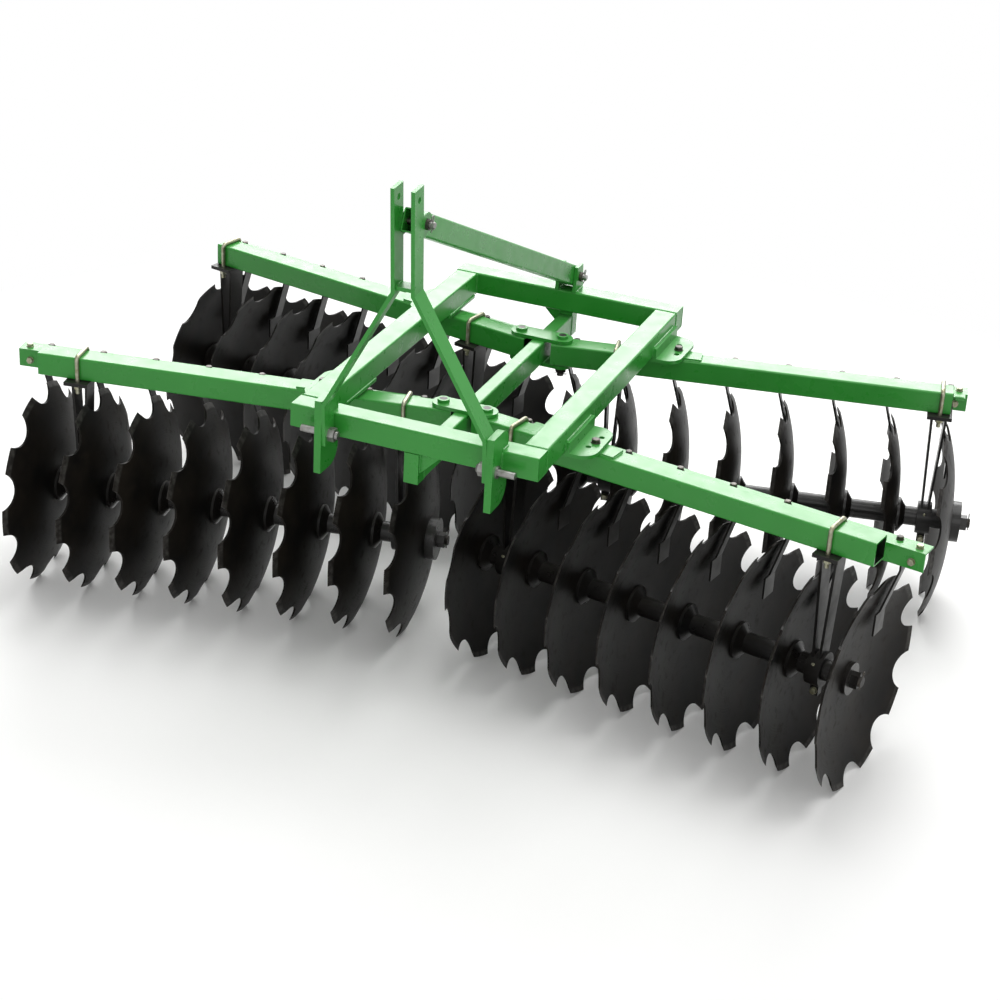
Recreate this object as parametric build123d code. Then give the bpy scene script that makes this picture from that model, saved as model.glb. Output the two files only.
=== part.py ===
"""Mounted tandem disc harrow: a welded box frame with a three-point mast, four
swivelling gang beams under it and four gangs of notched discs on square axles.

Millimetres. Y points to the rear, away from the hitch, and Z points up. X points
to the right of someone who stands in front of the hitch and looks at the
machine, and left and right in the names are meant that way too. The origin is
on the ground under the middle of the machine.
"""

import os
from math import acos, cos, degrees, radians, sin, sqrt

from build123d import *

# Frame sections and levels
TUBE = 75.0
TUBE_WALL = 5.0
TUBE_CORNER = 6.0
FRAME_WIDTH = 795.0
FRAME_LENGTH = 1330.0
PLATE = 12.0
SPINE_WIDTH = 46.0
SWIVEL_GAP = 1.0
LUG_PLATE = 8.0

# Gang layout, measured from each beam's swivel pin along the beam
PIVOT_X = 73.0
FRONT_PIVOT_BACK = 403.0
REAR_PIVOT_AHEAD = 274.0
FRONT_ANGLE = 10.0
REAR_ANGLE = 11.5
FRONT_BEAM_REACH = 1320.0
REAR_BEAM_REACH = 1285.0
BEAM_INNER = 32.0
DISCS_PER_GANG = 8
DISC_PITCH = 178.0
FRONT_FIRST_HUB = 27.0
REAR_FIRST_HUB = 95.0
AXLE_DROP = 471.0

# Discs
DISC_RADIUS = 330.0
DISC_THICKNESS = 6.0
DISC_DISH = 56.0
DISC_FLAT_RADIUS = 66.0
EDGE_BEVEL = 15.0
EDGE_THICKNESS = 2.0
NOTCH_COUNT = 10
NOTCH_RADIUS = 64.0
NOTCH_OFFSET = 18.0

# Gang axle, spools and ends
AXLE_SIDE = 35.0
SQUARE_CLEARANCE = 0.4
SPOOL_RADIUS = 32.0
FLANGE_RADIUS = 58.0
FLANGE_LENGTH = 26.0
BUMPER_RADIUS = 68.0
BUMPER_LENGTH = 30.0
END_WASHER_RADIUS = 50.0
END_WASHER_LENGTH = 12.0
AXLE_STUB = 34.0
STUB_RADIUS = 15.0

# Hangers that carry the gang bearings
RUNNING_FIT = 0.06
HOUSING_RADIUS = 54.0
HOUSING_LENGTH = 46.0
HANGER_TOP_U = 80.0
HANGER_TOP_V = 130.0
LEG_THICKNESS = 8.0
LEG_TOP_WIDTH = 66.0
LEG_LOW_WIDTH = 56.0
LEG_TOP_SPREAD = 46.0
LEG_LOW_SPREAD = 18.0
CLAMP_WIDTH = 26.0
CLAMP_DROP = 88.0
U_BOLT_RADIUS = 7.0
U_BOLT_GAP = 0.3
U_BOLT_TAIL = 30.0

# Scrapers
SCRAPER_BAR = 60.0
SCRAPER_BAR_WALL = 6.0
SCRAPER_BAR_DROP = 42.0
SCRAPER_BAR_BACK = 32.0
SCRAPER_BAR_MARGIN = 4.0
SCRAPER_BAR_OVERHANG = 76.0
SCRAPER_THICKNESS = 6.0
SCRAPER_WIDTH = 36.0
SCRAPER_TOP_OFFSET = 80.0
SCRAPER_KNEE = 58.0
SCRAPER_CLEARANCE = 7.0
BLADE_WIDTH = 64.0
BLADE_HEIGHT = 70.0
BLADE_LEVEL = 120.0

# Hitch
BRACKET_INNER_X = 262.0
BRACKET_PLATE = 22.0
BRACKET_FRONT = 70.0
BRACKET_TOP = 62.0
BRACKET_BOTTOM = 172.0
BRACKET_BACK = 46.0
HITCH_PIN_RADIUS = 11.0
HITCH_PIN_LENGTH = 52.0
HITCH_PIN_DROP = 52.0
HITCH_PIN_AHEAD = 36.0
HITCH_SHANK_RADIUS = 13.0
HITCH_COLLAR = 6.0
PIN_HEAD = 10.0
PIN_FIT = 0.1

# Mast and brace
MAST_BAR = 12.0
MAST_DEPTH = 60.0
MAST_GAP = 50.0
MAST_AHEAD = 40.0
MAST_LEAN = 4.5
MAST_FOOT_LOW = 80.0
MAST_FOOT_TOP = 54.0
MAST_BEND = 467.0
MAST_TOP = 782.0
TOP_LINK_DROP = 34.0
TOP_LINK_RADIUS = 9.75
BRACE_PIN_DROP = 126.0
BRACE_PIN_BACK = 52.0
LUG_HALF = 34.0
BRACE_HEIGHT = 68.0
BRACE_WIDTH = 48.0
BRACE_WALL = 4.0
PIN_RADIUS = 10.0
CLEVIS_PLATE = 12.0
CLEVIS_LENGTH = 78.0
CLEVIS_RISE = 46.0
CLEVIS_GAP = 50.0

# Swivels and angle plates
EAR_RADIUS = 35.0
SWIVEL_PIN_RADIUS = 12.0
INDEX_BEYOND = 62.0
INDEX_STEP = 6.0
INDEX_HOLE = 9.0
ANGLE_PLATE_REACH = 86.0
ANGLE_PLATE_HALF = 110.0
ANGLE_PLATE_CORNER = 52.0
ANGLE_LEG = 34.0
LUG_INNER = 42.0
LUG_OUTER = 78.0
POST_DEPTH = 48.0
GUSSET = 64.0

# Levels worked out from the sizes above
HALF_NOTCH = acos(
    (DISC_RADIUS**2 + (DISC_RADIUS + NOTCH_OFFSET) ** 2 - NOTCH_RADIUS**2)
    / (2 * DISC_RADIUS * (DISC_RADIUS + NOTCH_OFFSET))
)
AXLE_Z = DISC_RADIUS * cos(HALF_NOTCH)
BEAM_TOP = AXLE_Z + AXLE_DROP
BEAM_MID = BEAM_TOP - TUBE / 2
BEAM_LOW = BEAM_TOP - TUBE
FRAME_LOW = BEAM_TOP + LUG_PLATE + SWIVEL_GAP + PLATE
FRAME_MID = FRAME_LOW + TUBE / 2
FRAME_TOP = FRAME_LOW + TUBE
SPINE_HEIGHT = TUBE + 2 * SWIVEL_GAP
SPINE_MID = BEAM_MID
INDEX_RADIUS = FRAME_WIDTH / 2 - PIVOT_X + INDEX_BEYOND

# Lengthwise places, with the frame's front face at FRONT_Y
REAR_PIVOT_BACK = FRAME_LENGTH - REAR_PIVOT_AHEAD
GANG_SPAN = (DISCS_PER_GANG - 1) * DISC_PITCH
FRONT_HUB_U = FRONT_FIRST_HUB + GANG_SPAN
REAR_HUB_U = REAR_FIRST_HUB + GANG_SPAN
FRONT_REACH = (
    (FRONT_HUB_U + DISC_DISH) * sin(radians(FRONT_ANGLE))
    + DISC_RADIUS * cos(radians(FRONT_ANGLE))
    - FRONT_PIVOT_BACK
)
REAR_REACH = (
    REAR_HUB_U * sin(radians(REAR_ANGLE))
    + DISC_RADIUS * cos(radians(REAR_ANGLE))
    + REAR_PIVOT_BACK
)
FRONT_Y = (FRONT_REACH - REAR_REACH) / 2
REAR_Y = FRONT_Y + FRAME_LENGTH

FRONT_PIVOT_Y = FRONT_Y + FRONT_PIVOT_BACK
REAR_PIVOT_Y = FRONT_Y + REAR_PIVOT_BACK

# side is +1 on the right; angle is the right-hand beam's; dish +1 opens outward
GANGS = [
    # name, side, swivel pin y, angle, beam reach, first hub u, dish
    ("front_left", -1, FRONT_PIVOT_Y, -FRONT_ANGLE, FRONT_BEAM_REACH, FRONT_FIRST_HUB, 1),
    ("front_right", 1, FRONT_PIVOT_Y, -FRONT_ANGLE, FRONT_BEAM_REACH, FRONT_FIRST_HUB, 1),
    ("rear_left", -1, REAR_PIVOT_Y, REAR_ANGLE, REAR_BEAM_REACH, REAR_FIRST_HUB, -1),
    ("rear_right", 1, REAR_PIVOT_Y, REAR_ANGLE, REAR_BEAM_REACH, REAR_FIRST_HUB, -1),
]


def save(shape, name):
    os.makedirs("parts", exist_ok=True)
    export_step(shape, f"parts/{name}.step")


def block(x0, x1, y0, y1, z0, z1):
    """A plain box between two corners."""
    size = (x1 - x0, y1 - y0, z1 - z0)
    middle = ((x0 + x1) / 2, (y0 + y1) / 2, (z0 + z1) / 2)
    return Pos(*middle) * Box(*size)


def tube_x(x0, x1, width, height, wall, corner=TUBE_CORNER):
    """A rounded rectangular tube along X, open at both ends, centred on the axis."""
    outer = RectangleRounded(width, height, corner)
    inner = Rectangle(width - 2 * wall, height - 2 * wall)
    end = Plane(origin=(x0, 0, 0), x_dir=(0, 1, 0), z_dir=(1, 0, 0))
    return end * extrude(outer - inner, amount=x1 - x0)


def tube_y(y0, y1, width, height, wall, corner=TUBE_CORNER):
    """The same along Y."""
    return Rot(0, 0, 90) * tube_x(y0, y1, width, height, wall, corner)


def rod_x(radius, x0, x1, y=0.0, z=0.0):
    """A cylinder along X."""
    return Pos((x0 + x1) / 2, y, z) * Rot(0, 90, 0) * Cylinder(radius, x1 - x0)


def rod_z(radius, z0, z1, x=0.0, y=0.0):
    """A cylinder along Z."""
    return Pos(x, y, (z0 + z1) / 2) * Cylinder(radius, z1 - z0)


def profile_yz(points, x0, x1):
    """A polygon of (y, z) points, as thick as x0 to x1."""
    face = make_face(Polyline(*[(x0, y, z) for y, z in points], close=True))
    return extrude(face, amount=x1 - x0, dir=(1, 0, 0))


def profile_xz(points, y0, y1):
    """A polygon of (x, z) points, as deep as y0 to y1."""
    face = make_face(Polyline(*[(x, y0, z) for x, z in points], close=True))
    return extrude(face, amount=y1 - y0, dir=(0, 1, 0))


def strip(points, thickness):
    """The outline of a flat strip of this thickness whose middle line is given in 2-D."""
    left = []
    right = []
    for i, (px, pz) in enumerate(points):
        before = points[max(i - 1, 0)]
        after = points[min(i + 1, len(points) - 1)]
        d1 = Vector(px - before[0], pz - before[1])
        d2 = Vector(after[0] - px, after[1] - pz)
        d1 = d2 if d1.length == 0 else d1
        d2 = d1 if d2.length == 0 else d2
        n1 = Vector(-d1.Y, d1.X).normalized()
        n2 = Vector(-d2.Y, d2.X).normalized()
        mitre = (n1 + n2) * (thickness / 2 / (1 + n1.dot(n2)))
        left.append((px + mitre.X, pz + mitre.Y))
        right.append((px - mitre.X, pz - mitre.Y))
    return left + right[::-1]


def mirrored(shape):
    return mirror(shape, about=Plane.YZ)


def both_sides(shape):
    """The right-hand piece and its mirror image."""
    return Compound(children=[shape, mirrored(shape)])


def place(shape, side, pivot_y, angle):
    """From a gang's own frame (u outward from its swivel pin, v to the rear) to the machine's."""
    right = Pos(PIVOT_X, pivot_y, 0) * Rot(0, 0, angle) * shape
    return right if side > 0 else mirrored(right)


# Frame


def cross_tube(y0):
    half = FRAME_WIDTH / 2
    return Pos(0, y0 + TUBE / 2, FRAME_MID) * tube_x(-half, half, TUBE, TUBE, TUBE_WALL)


def side_tube():
    x = FRAME_WIDTH / 2 - TUBE / 2
    return Pos(x, 0, FRAME_MID) * tube_y(FRONT_Y + TUBE, REAR_Y - TUBE, TUBE, TUBE, TUBE_WALL)


def spine():
    y0 = FRONT_Y + POST_DEPTH
    y1 = REAR_Y - POST_DEPTH
    return Pos(0, 0, SPINE_MID) * tube_y(y0, y1, SPINE_WIDTH, SPINE_HEIGHT, TUBE_WALL)


def posts():
    """Posts between the cross tubes and the spine's ends, each with one corner gusset."""
    half = SPINE_WIDTH / 2
    low = SPINE_MID - SPINE_HEIGHT / 2
    corner = [(half, FRAME_LOW), (half + GUSSET, FRAME_LOW), (half, FRAME_LOW - GUSSET)]
    front = block(-half, half, FRONT_Y, FRONT_Y + POST_DEPTH, low, FRAME_LOW)
    front += profile_xz(corner, FRONT_Y + PLATE, FRONT_Y + 2 * PLATE)
    rear = block(-half, half, REAR_Y - POST_DEPTH, REAR_Y, low, FRAME_LOW)
    rear += mirrored(profile_xz(corner, REAR_Y - POST_DEPTH, REAR_Y - POST_DEPTH + PLATE))
    return Compound(children=[front, rear])


def pivot_plate(y, z0):
    """A plate across the spine with a round ear at each end for a swivel pin."""
    outline = SlotCenterToCenter(2 * PIVOT_X, 2 * EAR_RADIUS)
    plate = Pos(0, y, z0) * extrude(outline, amount=PLATE)
    for side in (-1, 1):
        plate -= rod_z(SWIVEL_PIN_RADIUS + PIN_FIT, z0, z0 + PLATE, side * PIVOT_X, y)
    return plate


def pivot_plates():
    top = SPINE_MID + SPINE_HEIGHT / 2
    low = SPINE_MID - SPINE_HEIGHT / 2 - PLATE
    rows = [FRONT_PIVOT_Y, REAR_PIVOT_Y]
    return Compound(children=[pivot_plate(y, z) for y in rows for z in (top, low)])


def pivot_pins():
    """Swivel pins, each with a round head above the top ear and a nut below the lower one."""
    top = SPINE_MID + SPINE_HEIGHT / 2 + PLATE
    low = SPINE_MID - SPINE_HEIGHT / 2 - PLATE
    pins = []
    for _, side, y, *_ in GANGS:
        x = side * PIVOT_X
        pin = rod_z(SWIVEL_PIN_RADIUS, low, top, x, y)
        pin += rod_z(SWIVEL_PIN_RADIUS + 7, top, top + PIN_HEAD, x, y)
        nut = extrude(RegularPolygon(SWIVEL_PIN_RADIUS + 7, 6), amount=2 * PIN_HEAD)
        pins.append(pin + Pos(x, y, low - 2 * PIN_HEAD) * nut)
    return Compound(children=pins)


def angle_plate(pivot_y, angle):
    """A plate under a side tube with an arc of holes that set the gang's angle, and its upright leg."""
    side = FRAME_WIDTH / 2
    middle = pivot_y + (side + INDEX_BEYOND - PIVOT_X) * sin(radians(angle))
    y0 = middle - ANGLE_PLATE_HALF
    y1 = middle + ANGLE_PLATE_HALF
    outer = side + ANGLE_PLATE_REACH
    outline = make_face(
        Polyline((side - TUBE, y0), (outer, y0), (outer, y1), (side - TUBE, y1), close=True)
    )
    outline = fillet(outline.vertices().sort_by(Axis.X)[-2:], ANGLE_PLATE_CORNER)
    plate = Pos(0, 0, FRAME_LOW - PLATE) * extrude(outline, amount=PLATE)
    plate += block(side, side + PLATE, y0, y1, FRAME_LOW, FRAME_LOW + ANGLE_LEG)
    for step in (-1, 0, 1):
        turn = radians(angle + step * INDEX_STEP)
        hole_x = PIVOT_X + INDEX_RADIUS * cos(turn)
        hole_y = pivot_y + INDEX_RADIUS * sin(turn)
        plate -= rod_z(INDEX_HOLE, FRAME_LOW - PLATE, FRAME_LOW, hole_x, hole_y)
    return plate


def angle_plates():
    front = angle_plate(FRONT_PIVOT_Y, -FRONT_ANGLE)
    rear = angle_plate(REAR_PIVOT_Y, REAR_ANGLE)
    return Compound(children=[front, rear, mirrored(front), mirrored(rear)])


# Hitch, mast and brace


def hitch_bracket():
    """A thick plate that hooks round the front tube from the front, for the mast and a lower link pin."""
    front = FRONT_Y - BRACKET_FRONT
    back = FRONT_Y + BRACKET_BACK
    low = FRAME_TOP - BRACKET_BOTTOM
    top = FRAME_TOP + BRACKET_TOP
    points = [
        (front, top),
        (front, low),
        (back, low),
        (back, FRAME_LOW),
        (FRONT_Y, FRAME_LOW),
        (FRONT_Y, FRAME_TOP),
        (back, FRAME_TOP),
        (back, top),
    ]
    x0 = BRACKET_INNER_X
    x1 = x0 + BRACKET_PLATE
    bracket = profile_yz(points, x0, x1)
    corners = bracket.edges().filter_by(Axis.X).filter_by(lambda e: e.center().Y > back - 1)
    bracket = fillet(corners.sort_by(Axis.Z)[:1], BRACKET_BACK + 10)
    corners = bracket.edges().filter_by(Axis.X).filter_by(lambda e: e.center().Y > back - 1)
    bracket = fillet(corners.sort_by(Axis.Z)[-1:], BRACKET_TOP - 14)
    z = FRAME_TOP - HITCH_PIN_DROP
    return bracket - rod_x(HITCH_SHANK_RADIUS + PIN_FIT, x0, x1, FRONT_Y - HITCH_PIN_AHEAD, z)


def hitch_pin():
    """A lower link pin: nut inside, shank through the mast's foot and the bracket, collar, free end."""
    y = FRONT_Y - HITCH_PIN_AHEAD
    z = FRAME_TOP - HITCH_PIN_DROP
    inside = BRACKET_INNER_X - MAST_BAR
    outside = BRACKET_INNER_X + BRACKET_PLATE
    shoulder = outside + HITCH_COLLAR
    pin = rod_x(HITCH_SHANK_RADIUS, inside, outside, y, z)
    pin += rod_x(HITCH_SHANK_RADIUS + 6, outside, shoulder, y, z)
    pin += rod_x(HITCH_PIN_RADIUS, shoulder, shoulder + HITCH_PIN_LENGTH, y, z)
    nut = extrude(Plane.YZ * RegularPolygon(HITCH_SHANK_RADIUS + 9, 6), amount=2 * PIN_HEAD)
    return pin + Pos(inside - 2 * PIN_HEAD, y, z) * nut


def on_mast(shape):
    """From the mast's own frame (z up its length from the frame's top) to the machine's."""
    return Pos(0, FRONT_Y - MAST_AHEAD, FRAME_TOP) * Rot(MAST_LEAN, 0, 0) * shape


def mast_point(y, z):
    """A point of the mast's own frame on the machine's middle plane."""
    lean = radians(MAST_LEAN)
    return Vector(
        0,
        FRONT_Y - MAST_AHEAD + y * cos(lean) - z * sin(lean),
        FRAME_TOP + y * sin(lean) + z * cos(lean),
    )


def mast_bar():
    """A flat bar on edge: foot on the bracket, slope inward, upright top with the brace's lug."""
    foot_x = BRACKET_INNER_X - MAST_BAR / 2
    top_x = MAST_GAP / 2 + MAST_BAR / 2
    middle = [
        (foot_x, -MAST_FOOT_LOW),
        (foot_x, MAST_FOOT_TOP),
        (top_x, MAST_BEND),
        (top_x, MAST_TOP),
    ]
    bar = profile_xz(strip(middle, MAST_BAR), -MAST_DEPTH / 2, MAST_DEPTH / 2)
    x0 = MAST_GAP / 2
    x1 = x0 + MAST_BAR
    level = MAST_TOP - BRACE_PIN_DROP
    bar += block(x0, x1, MAST_DEPTH / 2, BRACE_PIN_BACK, level - LUG_HALF, level + LUG_HALF)
    bar += rod_x(LUG_HALF, x0, x1, BRACE_PIN_BACK, level)
    bar -= rod_x(TOP_LINK_RADIUS, x0, x1, 0, MAST_TOP - TOP_LINK_DROP)
    bar -= rod_x(PIN_RADIUS + PIN_FIT, x0, x1, BRACE_PIN_BACK, level)
    foot = on_mast(bar)
    shank = HITCH_SHANK_RADIUS + PIN_FIT
    y = FRONT_Y - HITCH_PIN_AHEAD
    return foot - rod_x(shank, foot_x - MAST_BAR, foot_x + MAST_BAR, y, FRAME_TOP - HITCH_PIN_DROP)


def mast_spacer():
    z = MAST_BEND + MAST_BAR
    half = MAST_GAP / 2
    bar = block(-half, half, -MAST_DEPTH / 3, MAST_DEPTH / 3, z - MAST_BAR / 2, z + MAST_BAR / 2)
    return on_mast(bar)


BRACE_FRONT = mast_point(BRACE_PIN_BACK, MAST_TOP - BRACE_PIN_DROP)
BRACE_REAR = Vector(0, REAR_Y - TUBE / 2, FRAME_TOP + CLEVIS_RISE)


def brace():
    """A rectangular tube from the mast's top down to the clevis on the rear tube."""
    span = BRACE_REAR - BRACE_FRONT
    slope = degrees(acos(span.Y / span.length))
    end = BRACE_HEIGHT / 2
    tube = tube_y(-end, span.length + end, BRACE_WIDTH, BRACE_HEIGHT, BRACE_WALL)
    for y in (0, span.length):
        tube -= rod_x(PIN_RADIUS + PIN_FIT, -BRACE_WIDTH, BRACE_WIDTH, y)
    return Pos(*BRACE_FRONT) * Rot(-slope, 0, 0) * tube


def brace_pins():
    pins = []
    for end, half in ((BRACE_FRONT, MAST_GAP / 2 + MAST_BAR), (BRACE_REAR, CLEVIS_GAP / 2 + CLEVIS_PLATE)):
        pin = rod_x(PIN_RADIUS, -half - PIN_HEAD, half + PIN_HEAD, end.Y, end.Z)
        pin += rod_x(PIN_RADIUS + 6, half, half + PIN_HEAD, end.Y, end.Z)
        pins.append(pin)
    return Compound(children=pins)


def rear_clevis():
    y = REAR_Y - TUBE / 2
    half = CLEVIS_LENGTH / 2
    plates = []
    for x0 in (-CLEVIS_GAP / 2 - CLEVIS_PLATE, CLEVIS_GAP / 2):
        points = [
            (y - half, FRAME_TOP),
            (y + half, FRAME_TOP),
            (y + half / 1.6, FRAME_TOP + CLEVIS_RISE + half),
            (y - half / 1.6, FRAME_TOP + CLEVIS_RISE + half),
        ]
        plate = profile_yz(points, x0, x0 + CLEVIS_PLATE)
        plates.append(plate - rod_x(PIN_RADIUS + PIN_FIT, x0, x0 + CLEVIS_PLATE, y, BRACE_REAR.Z))
    return Compound(children=plates)


# Gang beams, in the gang's own frame: u outward, v to the rear


def beam(reach):
    tube = Pos(0, 0, BEAM_MID) * tube_x(-BEAM_INNER, reach, TUBE, TUBE, TUBE_WALL)
    half = TUBE / 2 - TUBE_CORNER
    lug_u = INDEX_RADIUS - LUG_INNER
    tube += block(lug_u, INDEX_RADIUS + LUG_OUTER, -half, half, BEAM_TOP, BEAM_TOP + LUG_PLATE)
    tube -= rod_z(SWIVEL_PIN_RADIUS + PIN_FIT, BEAM_LOW, BEAM_TOP)
    return tube - rod_z(INDEX_HOLE, BEAM_MID, BEAM_TOP + LUG_PLATE, INDEX_RADIUS)


def u_bolt(u):
    """A square U-bolt over the beam, its legs down through the hanger's top plate."""
    v = TUBE / 2 + U_BOLT_GAP + U_BOLT_RADIUS
    top = BEAM_TOP + U_BOLT_GAP + U_BOLT_RADIUS
    low = BEAM_LOW - PLATE - U_BOLT_TAIL
    path = Polyline((u, -v, low), (u, -v, top), (u, v, top), (u, v, low))
    path = fillet(path.vertices().sort_by(Axis.Z)[-2:], 1.6 * U_BOLT_RADIUS)
    section = Plane(origin=(u, -v, low), z_dir=(0, 0, 1)) * Circle(U_BOLT_RADIUS)
    return sweep(section, path=path)


def hanger(u):
    """A top plate, two converging legs and the bearing housing with its clamp bolt lug."""
    top = BEAM_LOW - PLATE
    half_u = HANGER_TOP_U / 2
    half_v = HANGER_TOP_V / 2
    plate = block(u - half_u, u + half_u, -half_v, half_v, top, BEAM_LOW)
    v = TUBE / 2 + U_BOLT_GAP + U_BOLT_RADIUS
    for side in (-1, 1):
        plate -= rod_z(U_BOLT_RADIUS + U_BOLT_GAP, top, BEAM_LOW, u, side * v)
    legs = make_face(
        Polyline(
            (u, -LEG_TOP_WIDTH / 2, top),
            (u, LEG_TOP_WIDTH / 2, top),
            (u, LEG_LOW_WIDTH / 2, AXLE_Z),
            (u, -LEG_LOW_WIDTH / 2, AXLE_Z),
            close=True,
        )
    )
    taper = extrude(legs, amount=HANGER_TOP_U, dir=(1, 0, 0), both=True)
    bracket = plate
    for side in (-1, 1):
        line = [(u + side * LEG_TOP_SPREAD / 2, top), (u + side * LEG_LOW_SPREAD / 2, AXLE_Z)]
        leg = profile_xz(strip(line, LEG_THICKNESS), -half_v, half_v)
        bracket += leg & taper
    bracket += rod_x(HOUSING_RADIUS, u - HOUSING_LENGTH / 2, u + HOUSING_LENGTH / 2, 0, AXLE_Z)
    clamp = CLAMP_WIDTH / 2
    bracket += block(u - clamp, u + clamp, -clamp, clamp, AXLE_Z - CLAMP_DROP, AXLE_Z)
    return bracket - rod_x(SPOOL_RADIUS + RUNNING_FIT, u - HOUSING_LENGTH, u + HOUSING_LENGTH, 0, AXLE_Z)


def hanger_places(first):
    """Midway between the two inner discs and the two outer ones."""
    return [first + DISC_PITCH / 2, first + GANG_SPAN - DISC_PITCH / 2]


def scraper_bar(first, dish_side):
    """An angle bar behind the beam, on stand-offs, that carries one scraper per disc."""
    v0 = TUBE / 2 + SCRAPER_BAR_BACK
    v1 = v0 + SCRAPER_BAR
    top = BEAM_TOP - SCRAPER_BAR_DROP
    u0 = first + dish_side * SCRAPER_TOP_OFFSET - SCRAPER_BAR_MARGIN
    u1 = first + GANG_SPAN + dish_side * SCRAPER_TOP_OFFSET + SCRAPER_BAR_OVERHANG
    bar = block(u0, u1, v0, v1, top - SCRAPER_BAR_WALL, top)
    bar += block(u0, u1, v0, v0 + SCRAPER_BAR_WALL, top - SCRAPER_BAR, top)
    for u in hanger_places(first):
        inner = u + HANGER_TOP_U / 2
        bar += block(inner, inner + 3 * PLATE, TUBE / 2, v1, top - SCRAPER_BAR_WALL, top)
    return bar


def scraper(hub, dish_side):
    """A shank from the bar down to a blade that clears the disc's hollow face."""
    v = TUBE / 2 + SCRAPER_BAR_BACK + SCRAPER_BAR - SCRAPER_WIDTH / 2
    level = AXLE_Z + BLADE_LEVEL
    reach = sqrt((v + SCRAPER_WIDTH / 2) ** 2 + (BLADE_LEVEL + BLADE_HEIGHT) ** 2)
    face = hollow_depth(reach) + SCRAPER_CLEARANCE + SCRAPER_THICKNESS / 2
    bar_low = BEAM_TOP - SCRAPER_BAR_DROP - SCRAPER_BAR_WALL
    line = [
        (hub + dish_side * SCRAPER_TOP_OFFSET, bar_low),
        (hub + dish_side * SCRAPER_TOP_OFFSET, BEAM_LOW - SCRAPER_KNEE),
        (hub + dish_side * face, level + BLADE_HEIGHT),
        (hub + dish_side * face, level),
    ]
    shank = profile_xz(strip(line, SCRAPER_THICKNESS), v - SCRAPER_WIDTH / 2, v + SCRAPER_WIDTH / 2)
    blade = block(
        hub + dish_side * face - SCRAPER_THICKNESS / 2,
        hub + dish_side * face + SCRAPER_THICKNESS / 2,
        v + SCRAPER_WIDTH / 2 - BLADE_WIDTH,
        v + SCRAPER_WIDTH / 2,
        level,
        level + BLADE_HEIGHT,
    )
    return shank + blade


# Discs and axles, in the gang's own frame

DISH_ARC = ((DISC_RADIUS - DISC_FLAT_RADIUS) ** 2 + DISC_DISH**2) / (2 * DISC_DISH)


def hollow_depth(radius):
    """How far a disc's hollow face lies from its hub plane at this radius."""
    run = max(radius - DISC_FLAT_RADIUS, 0)
    return DISH_ARC - sqrt((DISH_ARC - DISC_THICKNESS) ** 2 - run**2)


def disc():
    """A notched concave disc, its crown face in the YZ plane and its hollow towards +X."""
    flat = DISC_FLAT_RADIUS
    bevel = DISC_RADIUS - EDGE_BEVEL
    crown_end = DISH_ARC - sqrt(DISH_ARC**2 - (bevel - flat) ** 2)
    half_run = (bevel - flat) / 2
    crown_mid = DISH_ARC - sqrt(DISH_ARC**2 - half_run**2)
    hollow_end = hollow_depth(DISC_RADIUS)
    hollow_mid = hollow_depth(flat + (DISC_RADIUS - flat) / 2)
    outline = [
        Line((0, 0, 0), (0, 0, flat)),
        ThreePointArc((0, 0, flat), (crown_mid, 0, flat + half_run), (crown_end, 0, bevel)),
        Line((crown_end, 0, bevel), (hollow_end - EDGE_THICKNESS, 0, DISC_RADIUS)),
        Line((hollow_end - EDGE_THICKNESS, 0, DISC_RADIUS), (hollow_end, 0, DISC_RADIUS)),
        ThreePointArc(
            (hollow_end, 0, DISC_RADIUS), (hollow_mid, 0, (flat + DISC_RADIUS) / 2), (DISC_THICKNESS, 0, flat)
        ),
        Line((DISC_THICKNESS, 0, flat), (DISC_THICKNESS, 0, 0)),
        Line((DISC_THICKNESS, 0, 0), (0, 0, 0)),
    ]
    plate = revolve(make_face(Wire(outline)), axis=Axis.X)
    reach = 2 * (DISC_DISH + DISC_THICKNESS)
    for i in range(NOTCH_COUNT):
        cutter = rod_x(NOTCH_RADIUS, -reach, reach, 0, -(DISC_RADIUS + NOTCH_OFFSET))
        plate -= Rot(360 / NOTCH_COUNT * i, 0, 0) * cutter
    side = AXLE_SIDE + SQUARE_CLEARANCE
    return plate - Box(reach, side, side)


DISC = disc()


def along_gang(shape, u, dish_side):
    """Set a piece on the gang's axle at u, turned so that +X is the hollow side."""
    turned = shape if dish_side > 0 else Rot(0, 0, 180) * shape
    return Pos(u, 0, AXLE_Z) * turned


def square_hole(u0, u1):
    side = AXLE_SIDE + SQUARE_CLEARANCE
    return block(u0, u1, -side / 2, side / 2, AXLE_Z - side / 2, AXLE_Z + side / 2)


def hub_span(hub, dish_side):
    """The two flat faces of a disc's middle, as low u and high u."""
    other = hub + dish_side * DISC_THICKNESS
    return min(hub, other), max(hub, other)


def spool(u0, u1):
    """A cast spool between two discs: a barrel with a coned flange at each end."""
    outline = [
        (u0, SPOOL_RADIUS - 12),
        (u0, FLANGE_RADIUS),
        (u0 + 8, FLANGE_RADIUS),
        (u0 + FLANGE_LENGTH, SPOOL_RADIUS),
        (u1 - FLANGE_LENGTH, SPOOL_RADIUS),
        (u1 - 8, FLANGE_RADIUS),
        (u1, FLANGE_RADIUS),
        (u1, SPOOL_RADIUS - 12),
    ]
    face = make_face(Polyline(*[(u, 0, AXLE_Z + r) for u, r in outline], close=True))
    axis = Axis((0, 0, AXLE_Z), (1, 0, 0))
    tube = revolve(face, axis=axis)
    core = rod_x(SPOOL_RADIUS - 12, u0, u1, 0, AXLE_Z)
    return tube + core - square_hole(u0, u1)


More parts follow.
